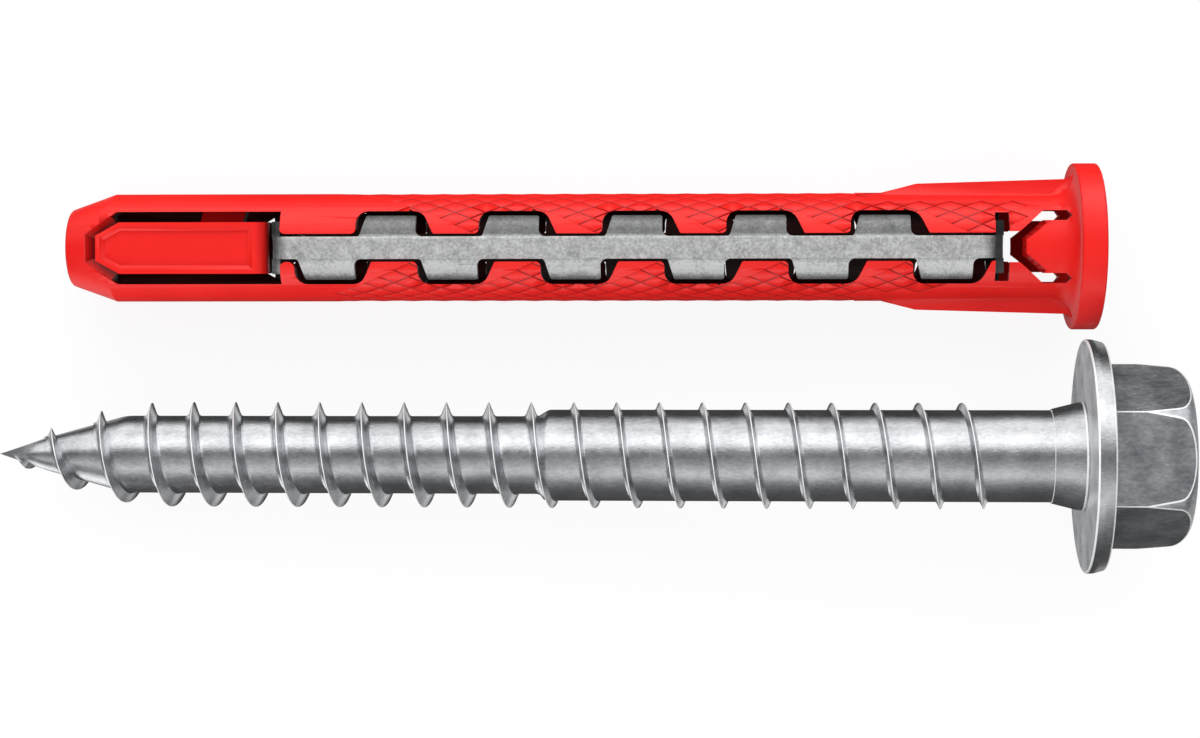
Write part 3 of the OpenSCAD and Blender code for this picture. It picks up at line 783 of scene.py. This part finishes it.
# %% Name the screw's sizes
UNDER_HEAD = 100.54
KNEE_L = 4.5
KNEE_R = 1.53
CONE_L = 12.1
CORE_R = 3.59
FRONT_L = 50.7
SHOULDER_L = 1.0
SHANK_R = 4.2
NECK_L = 3.0
NECK_R = 5.0
NECK_STEP = 0.1
NECK_LIP = 0.2
FLANGE_R = 10.65
FLANGE_T = 1.7
FLANGE_BAND = 0.65
FLANGE_TAPER = 0.3
HEX_AF = 14.6
HEX_H = 7.55
HEAD_END = UNDER_HEAD + FLANGE_T + HEX_H
RIM_ROUND = 0.16
SPIN_STEPS = 96
print("the screw is", round(HEAD_END, 2), "mm long")


def core_at(u):
    """The core's radius at a place along the screw."""
    if u < KNEE_L:
        return KNEE_R * u / KNEE_L
    if u < CONE_L:
        return KNEE_R + (CORE_R - KNEE_R) * (u - KNEE_L) / (CONE_L - KNEE_L)
    return CORE_R


# %% Draw a profile and spin it


def rounded_line(points, steps=4):
    """A line of (along, radius, rounding) points with its corners rounded."""
    line = []
    for i, (x, r, rounding) in enumerate(points):
        here = Vector((x, r))
        if rounding == 0 or i in (0, len(points) - 1):
            line.append(here)
            continue
        before = (Vector(points[i - 1][:2]) - here).normalized()
        after = (Vector(points[i + 1][:2]) - here).normalized()
        a = here + before * rounding
        b = here + after * rounding
        for k in range(steps + 1):
            t = k / steps
            line.append(a * (1 - t) ** 2 + here * 2 * t * (1 - t) + b * t ** 2)
    return line


def spun(name, points, steps=SPIN_STEPS):
    """Extrudes a vertex along a profile and spins the line about X to a closed solid."""
    line = rounded_line(points)
    bpy.ops.object.select_all(action="DESELECT")
    bpy.ops.mesh.primitive_plane_add(size=1)
    piece = bpy.context.object
    piece.name = name
    bpy.ops.object.mode_set(mode="EDIT")
    bpy.ops.mesh.select_mode(type="VERT")
    bpy.ops.mesh.select_all(action="SELECT")
    bpy.ops.mesh.merge(type="CENTER")
    start = line[0]
    bpy.ops.transform.translate(value=(start.x, start.y, 0))
    for a, b in zip(line, line[1:]):
        step = b - a
        bpy.ops.mesh.extrude_vertices_move(TRANSFORM_OT_translate={"value": (step.x, step.y, 0)})
    bpy.ops.mesh.select_all(action="SELECT")
    bpy.ops.mesh.spin(steps=steps, angle=2 * math.pi, center=(0, 0, 0), axis=(1, 0, 0))
    bpy.ops.object.mode_set(mode="OBJECT")
    clean_skin(piece, gap=0.0005)
    return piece


# %% Spin the screw's body
# Each point is (along, radius, rounding).
screw = spun("screw_body", [
    (0, 0, 0),
    (KNEE_L, KNEE_R, 0.5),
    (CONE_L, CORE_R, 0.6),
    (FRONT_L, CORE_R, 0.25),
    (FRONT_L + SHOULDER_L, SHANK_R, 0.25),
    (UNDER_HEAD - NECK_L, SHANK_R, 0),
    (UNDER_HEAD - NECK_L, SHANK_R + NECK_STEP, 0.03),
    (UNDER_HEAD - NECK_LIP, NECK_R, 0.1),
    (UNDER_HEAD - NECK_LIP / 2, NECK_R, 0.05),
    (UNDER_HEAD, NECK_R, 0),
    (UNDER_HEAD, FLANGE_R, RIM_ROUND),
    (UNDER_HEAD + FLANGE_BAND, FLANGE_R, 0.15),
    (UNDER_HEAD + FLANGE_T, FLANGE_R - FLANGE_TAPER, RIM_ROUND),
    (UNDER_HEAD + FLANGE_T, 0, 0),
])
print("screw body:", triangles(screw), "triangles")

# %% Give the body its pressed faces and painted edge highlights
HAIR = 0.01
# How far the painted highlight reaches on the edges of the flange and the neck, in millimetres.
FRONT_HIGHLIGHT = 0.17
BACK_HIGHLIGHT = {"along": 0.19, "in": 0.48}
LIP_HIGHLIGHT = {"from": 0.3, "to": 0.09, "in": 0.07}
FOOT_HIGHLIGHT = 0.1
FLAT_ENOUGH = 0.95


def body_edge_highlight(face):
    """True on the edges of the flange and of the neck, which get the painted highlight."""
    along = face.center.x - UNDER_HEAD
    radius = math.hypot(face.center.y, face.center.z)
    at_front = -HAIR < along < FRONT_HIGHLIGHT and radius > FLANGE_R - FRONT_HIGHLIGHT
    on_back = FLANGE_T - BACK_HIGHLIGHT["along"] < along < FLANGE_T + HAIR
    at_back = on_back and radius > FLANGE_R - BACK_HIGHLIGHT["in"]
    at_lip = -LIP_HIGHLIGHT["from"] < along < -LIP_HIGHLIGHT["to"] and radius > NECK_R - LIP_HIGHLIGHT["in"]
    at_foot = -NECK_L - HAIR < along < -NECK_L + FOOT_HIGHLIGHT
    return at_front or at_back or at_lip or at_foot


def pressed_body(face):
    """True on the two flat sides of the flange."""
    return face.center.x > UNDER_HEAD - HAIR and abs(face.normal.x) > FLAT_ENOUGH


dress(screw, zinc)
print("faces of pressed zinc:", paint_faces(screw, pressed_zinc, pressed_body))
print("worn faces of the body:", paint_faces(screw, edge_highlight_zinc, body_edge_highlight))

# %% [markdown]
# ## The hexagon
# The wrench grips six flat faces. The corners lean in and round off towards the end, because the head is
# pressed in a round die. A six-sided cylinder is cut to a spun shape, as that die would do it, and its
# edges are broken with a small bevel, whose faces carry the pale zinc that paints a highlight along the
# edges.

# %% Name the hexagon's sizes
CORNER_R = HEX_AF / 2 / math.cos(math.radians(30))
HEX_TAPER_L = 4.6
HEX_ROUND = 1.0
HEX_FACE_R = 7.0
HEX_LEAN = math.radians(5)
HEX_SUNK = 0.3
LEAN_ROUND = 0.7
FACE_ROUND = 0.6
DIE_STEPS = 72
DIE_SPARE = 1.0
EDGE_W = 0.13
EDGE_ANGLE = math.radians(19)
print("the hexagon is", round(2 * CORNER_R, 2), "mm over its corners")

# %% Make the hexagon


def hexagon():
    """The head's six flats, cut to a round shape at the end."""
    bpy.ops.object.select_all(action="DESELECT")
    middle = UNDER_HEAD + FLANGE_T + (HEX_H - HEX_SUNK) / 2
    bpy.ops.mesh.primitive_cylinder_add(
        vertices=6, radius=CORNER_R, depth=HEX_H + HEX_SUNK, location=(middle, 0, 0),
        rotation=(0, math.pi / 2, 0))
    head = bpy.context.object
    head.name = "screw_hexagon"
    bpy.ops.object.transform_apply(location=True, rotation=True, scale=True)
    taper_start = HEAD_END - HEX_TAPER_L
    taper_l = HEX_TAPER_L - HEX_ROUND
    die = spun("die", [
        (UNDER_HEAD, 0, 0),
        (UNDER_HEAD, CORNER_R + DIE_SPARE, 0),
        (taper_start, CORNER_R + DIE_SPARE, 0),
        (taper_start, CORNER_R, 0),
        (taper_start + taper_l, CORNER_R - taper_l * math.tan(HEX_LEAN), LEAN_ROUND),
        (HEAD_END, HEX_FACE_R, FACE_ROUND),
        (HEAD_END, 0, 0),
    ], steps=DIE_STEPS)
    apply_modifier(head, "BOOLEAN", operation="INTERSECT", solver="EXACT", object=die)
    bpy.data.objects.remove(die)
    return head


head = hexagon()
clean_skin(head, gap=0.01)
dress(head, hexagon_zinc, edge_highlight_zinc)
# The bevel's faces take the pale zinc of the painted highlight.
apply_modifier(
    head, "BEVEL", width=EDGE_W, segments=2, limit_method="ANGLE",
    angle_limit=EDGE_ANGLE, material=1, use_clamp_overlap=True)
print("hexagon:", triangles(head), "triangles")

# %% [markdown]
# ## The thread
# A rolled thread is a ridge with a sharp crest and a small hollow fillet at
# its foot. It winds round the cone and along the cylinder, and in the last
# half turn it sinks into the shank. The Screw modifier sweeps one section at
# one radius and one lead, and this ridge changes both on its way. So a long
# flat grid is the ribbon, with one row for each step of the turn and one
# column for each point of the section, and every row is set on the helix.

# %% Name the thread's sizes
THREAD_R = 4.88
LEAD = 3.95
TIP_LEAD = 4.8
OGIVE_L = 16.6
CREST_START = 14.5
TIP_TURNS = 2.75
THREAD_END = UNDER_HEAD - 7.2
THREAD_TURNS = TIP_TURNS + (THREAD_END - CREST_START) / LEAD
STEPS_A_TURN = 64
FLANK = math.tan(math.radians(21))
CREST_HALF_W = 0.045
ROOT_SUNK = 0.25
RISE_TURNS = 0.25
RUNOUT_TURNS = 0.5
FILLET_MOST = 0.3
CREST_HIGHLIGHT = 0.05
print("the thread has", round(THREAD_TURNS, 2), "turns")

# %% Work out the ridge's section


def crest_at(u):
    """The crest's radius at a place along the screw."""
    if u < OGIVE_L:
        return THREAD_R * (1 - (1 - u / OGIVE_L) ** 2)
    return THREAD_R


def crest_place(turns):
    """The crest's place along the screw after a number of turns."""
    return CREST_START + turns * (TIP_LEAD if turns < 0 else LEAD)


def surface_at(u):
    """The radius of the body that the ridge stands on."""
    if u > FRONT_L + SHOULDER_L:
        return SHANK_R
    if u > FRONT_L:
        return CORE_R + (SHANK_R - CORE_R) * (u - FRONT_L) / SHOULDER_L
    return core_at(u)


def ridge_section(wound):
    """Points (along, radius) of the ridge's section after a number of turns from its start."""
    u = crest_place(wound - TIP_TURNS)
    surface = surface_at(u)
    rise = min(1.0, wound / RISE_TURNS, (THREAD_TURNS - wound) / RUNOUT_TURNS)
    low = surface - ROOT_SUNK / 2
    top = low + (crest_at(u) - low) * max(rise, 0.0)
    foot = core_at(u) if u < FRONT_L else surface - 0.02
    height = max(top - foot, 0.02)
    half_foot = CREST_HALF_W + height * FLANK
    fillet = min(FILLET_MOST, 0.35 * height + 0.02)
    # One flank from under the surface up to the crest: out from the middle, and the radius.
    half = [
        (half_foot + fillet, foot - ROOT_SUNK),
        (half_foot + fillet, foot - 0.015),
        (half_foot + fillet * 0.45, foot + 0.05 * fillet),
        (half_foot + fillet * 0.02, foot + fillet * 0.3),
        (half_foot - fillet * 0.3, foot + fillet * 0.85),
        (CREST_HALF_W, top - 0.02),
        (CREST_HALF_W * 0.5, top),
    ]
    left = [(u - w, r) for w, r in half]
    right = [(u + w, r) for w, r in reversed(half)]
    return left + right


print("points in the ridge's section:", len(ridge_section(1.0)))

# %% Wind the ribbon to a ridge


def ridge():
    """The thread's ridge: a grid whose rows are set on the helix."""
    count = int(THREAD_TURNS * STEPS_A_TURN)
    width = len(ridge_section(1.0))
    bpy.ops.object.select_all(action="DESELECT")
    bpy.ops.mesh.primitive_grid_add(x_subdivisions=width, y_subdivisions=count, size=1)
    ribbon = bpy.context.object
    ribbon.name = "screw_ridge"
    for row in range(count + 1):
        wound = THREAD_TURNS * row / count
        section = ridge_section(wound)
        section.append(section[0])
        turn = math.radians(90 + 360 * (wound - TIP_TURNS))
        for column, (along, radius) in enumerate(section):
            vertex = ribbon.data.vertices[row * (width + 1) + column]
            vertex.co = (along, radius * math.sin(turn), -radius * math.cos(turn))
    clean_skin(ribbon, gap=0.0002)
    pick(ribbon, "EDGE", lambda edge: False)
    bpy.ops.mesh.select_non_manifold()
    bpy.ops.mesh.edge_face_add()
    bpy.ops.object.mode_set(mode="OBJECT")
    clean_skin(ribbon, gap=0.0002)
    return ribbon


def crest_highlight(face):
    """True along the crest, which gets the painted highlight."""
    radius = math.hypot(face.center.y, face.center.z)
    return radius > crest_at(face.center.x) - CREST_HIGHLIGHT and face.center.x > KNEE_L


thread = ridge()
dress(thread, zinc)
print("worn faces of the thread:", paint_faces(thread, edge_highlight_zinc, crest_highlight))
print("thread:", triangles(thread), "triangles")

# %% [markdown]
# ## Laying the pieces down
# The screw's three pieces were built along X. Now they take the place and tilt of the imported screw,
# and the place is written into their meshes, so that every piece's own origin is the object's. Then each
# piece is attached to the frame's body, and the imported solid that it stands for is hidden.

# %% Put the screw together
for piece in (screw, head, thread):
    lay_down(piece, SCREW_PLACE)
    even_shading(piece, degrees=28)
print("the screw lies at", SCREW_PLACE["at"])

# %% Attach each piece, and hide the solid that it stands for
for name, strip in strips.items():
    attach(strip, "root")
    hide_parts(name)
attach(sleeve, "root")
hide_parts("sleeve")
for piece in (screw, head, thread):
    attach(piece, "root")
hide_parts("screw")
print("pieces:", [piece.name for piece in (sleeve, *strips.values(), screw, head, thread)])

# %% [markdown]
# ## The floor
# The object lies on a white light table, as for a catalogue picture. A white
# floor under strong lamps would look the same, but it would throw so much
# light up that the red turned pink. So the floor glows by itself at just
# under white, and reflects only enough to take the object's soft shadow.
# The metal must not mirror it, and the nylon must not be lit by it.

# %% Floor
FLOOR_SIZE = 3
FLOOR_GREY = (0.12, 0.12, 0.12, 1)
FLOOR_GLOW = 0.89
bpy.ops.object.select_all(action="DESELECT")
bpy.ops.mesh.primitive_plane_add(size=FLOOR_SIZE)
floor = bpy.context.object
floor.name = "floor"
floor_white = bpy.data.materials.new("floor_white")
floor_white.use_nodes = True
floor_shader = floor_white.node_tree.nodes["Principled BSDF"]
floor_shader.inputs["Base Color"].default_value = FLOOR_GREY
floor_shader.inputs["Roughness"].default_value = 1.0
floor_shader.inputs["Specular IOR Level"].default_value = 0.0
floor_shader.inputs["Emission Color"].default_value = (1, 1, 1, 1)
floor_shader.inputs["Emission Strength"].default_value = FLOOR_GLOW
floor.data.materials.append(floor_white)
floor.visible_glossy = False
floor.visible_diffuse = False
print("floor:", FLOOR_SIZE, "m wide, with a glow of", FLOOR_GLOW)

# %% [markdown]
# ## The room
# Bright metal shows whatever stands round it. Boards of white and black card
# round the object would do, and so would a studio picture, but the world can
# hold the same thing as numbers. It has bands along X, by their angle from
# straight up: a broad bright one on the far side, grey ones overhead and in
# front, and dark gaps between. The bands dim toward both ends of the room.
# Three patches of light stand low. One is the table's own glow, which steep
# flanks of the thread catch. A faint one stands at both ends, and a bright
# one on the near side by the screw's tip. All of it belongs to the room, and
# stays where it is when the camera moves.

# %% Name the room's light by direction
ROOM_STRENGTH = 1.5
# Degrees from straight up toward the far side, and the brightness there.
BANDS = [
    (-180, 0.04), (-100, 0.07), (-84, 0.12), (-73, 0.18), (-62, 0.30), (-52, 0.48),
    (-42, 0.53), (-33, 0.40), (-23, 0.31), (-15, 0.29), (-6, 0.18), (3, 0.15),
    (12, 0.20), (20, 0.46), (30, 0.95), (39, 1.0), (48, 1.0), (58, 0.9), (66, 0.70),
    (72, 0.68), (80, 0.78), (92, 0.80), (100, 0.58), (108, 0.28), (118, 0.05), (180, 0.04),
]
# How far a direction points along X, from 0 to 1, and what is left of the bands there.
ENDS = [(0.0, 1.0), (0.45, 1.0), (0.75, 0.85), (1.0, 0.35)]
TABLE_GLOW = 0.75
TABLE_GLOW_X = (0.16, 0.4)
TABLE_GLOW_Z = (-0.92, -0.7)
END_GLOW = 0.27
END_GLOW_X = (0.42, 0.66)
END_GLOW_Z = (-0.3, 0.1)
TIP_GLOW = 0.85
TIP_GLOW_X = (-0.4, -0.27)
TIP_GLOW_Y = (-0.6, -0.42)
print("bands in the room:", len(BANDS))

# %% Build the room


def room():
    """A world of bands along X that dim toward both ends, with three low patches of light."""
    world = bpy.data.worlds.new("studio")
    world.use_nodes = True
    tree = world.node_tree
    coords = tree.nodes.new("ShaderNodeTexCoord")
    axes = tree.nodes.new("ShaderNodeSeparateXYZ")
    tree.links.new(coords.outputs["Generated"], axes.inputs["Vector"])
    x, y, z = (axes.outputs[axis] for axis in "XYZ")
    angle = math_of(tree, y, z, "ARCTAN2")
    share = fade_of(tree, angle, (-math.pi, math.pi))
    bands = ramp_of(tree, share, [((degrees + 180) / 360, (grey,) * 3) for degrees, grey in BANDS])
    side = math_of(tree, x, x, "MULTIPLY")
    ends = ramp_of(tree, side, [(along ** 2, (grey,) * 3) for along, grey in ENDS])
    light = math_of(tree, bands, ends, "MULTIPLY")

    below = fade_of(tree, z, TABLE_GLOW_Z, 1.0, 0.0)
    leaning = fade_of(tree, side, squares(TABLE_GLOW_X), 0.0, TABLE_GLOW)
    table_glow = math_of(tree, below, leaning, "MULTIPLY")
    low = fade_of(tree, z, END_GLOW_Z, 1.0, 0.0)
    at_ends = fade_of(tree, side, squares(END_GLOW_X), 0.0, END_GLOW)
    end_glow = math_of(tree, at_ends, low, "MULTIPLY")
    at_tip = fade_of(tree, x, TIP_GLOW_X, TIP_GLOW, 0.0)
    near_low = math_of(tree, fade_of(tree, y, TIP_GLOW_Y, 1.0, 0.0), low, "MULTIPLY")
    tip_glow = math_of(tree, at_tip, near_low, "MULTIPLY")
    for patch in (table_glow, end_glow, tip_glow):
        light = math_of(tree, light, patch, "MAXIMUM")
    background = tree.nodes["Background"]
    tree.links.new(light, background.inputs["Color"])
    background.inputs["Strength"].default_value = ROOM_STRENGTH
    return world


bpy.context.scene.world = room()
print("the world's name:", bpy.context.scene.world.name)

# %% [markdown]
# ## The lamps
# The room's bands light the nylon unevenly, so soft lamps, which the metal doesn't show, even that out.
# Each is a broad area lamp. A lamp can be linked to some pieces only, and that is used here: the two
# side lamps light and sheen the nylon and the floor, and two more light the screw's pale edges, which
# carry its painted highlights, without paling the red. The sleeve isn't mirrored in the zinc either.

# %% Helpers for the lamps


def softbox(name, place, size, power, lit=None, sheen=False):
    """A soft area lamp that faces the object, for all pieces or only for some."""
    lamp = bpy.data.lights.new(name, "AREA")
    lamp.shape = "RECTANGLE"
    lamp.size, lamp.size_y = size
    lamp.energy = power
    holder = bpy.data.objects.new(name, lamp)
    holder.location = place
    holder.rotation_euler = Vector(place).to_track_quat("Z", "Y").to_euler()
    holder.visible_glossy = sheen
    holder.light_linking.receiver_collection = lit
    bpy.context.scene.collection.objects.link(holder)
    return holder


def group_of(name, *pieces):
    """A collection that says which pieces a lamp lights."""
    group = bpy.data.collections.new(name)
    for piece in pieces:
        group.objects.link(piece)
    return group


# %% Lamps
# Places and sizes are in metres, and powers in watts.
nylon_and_floor = group_of("nylon_and_floor", sleeve, floor)
whole_screw = group_of("whole_screw", screw, head, thread)
softbox("overhead", (0.0, 0.0, 0.6), (0.9, 0.7), 0.7)
softbox("near_side", (0.0, -0.5, 0.16), (0.8, 0.3), 2.4, nylon_and_floor, sheen=True)
softbox("far_side", (0.0, 0.5, 0.22), (0.8, 0.3), 1.6, nylon_and_floor, sheen=True)
softbox("screw_top", (0.0, 0.0, 0.6), (0.9, 0.7), 3.5, whole_screw)
softbox("screw_tip_side", (-0.45, 0.0, 0.3), (0.5, 0.6), 3.0, whole_screw)
sleeve.visible_glossy = False

# %% [markdown]
# ## The camera
# The photograph looks straight down, from a little over twice the set's
# length. Its lens is worked out in the photograph's own frame, as a number
# of pixels, and turned into millimetres by the sensor's width.

# %% Camera
CAMERA_AT = (1.2926, -0.173, 236.68)
SENSOR_W = 36.0
FRAME_W_PX = 1200
FOCAL_PX = 2483.2
camera_data = bpy.data.cameras.new("camera")
camera_data.sensor_width = SENSOR_W
camera_data.lens = SENSOR_W * (FOCAL_PX / FRAME_W_PX)
camera_data.clip_start = 0.01
camera = bpy.data.objects.new("camera", camera_data)
camera.location = [value * MM for value in CAMERA_AT]
bpy.context.scene.collection.objects.link(camera)
bpy.context.scene.camera = camera
bpy.context.scene.view_settings.view_transform = "Standard"
print("the lens is", round(camera_data.lens, 2), "mm")
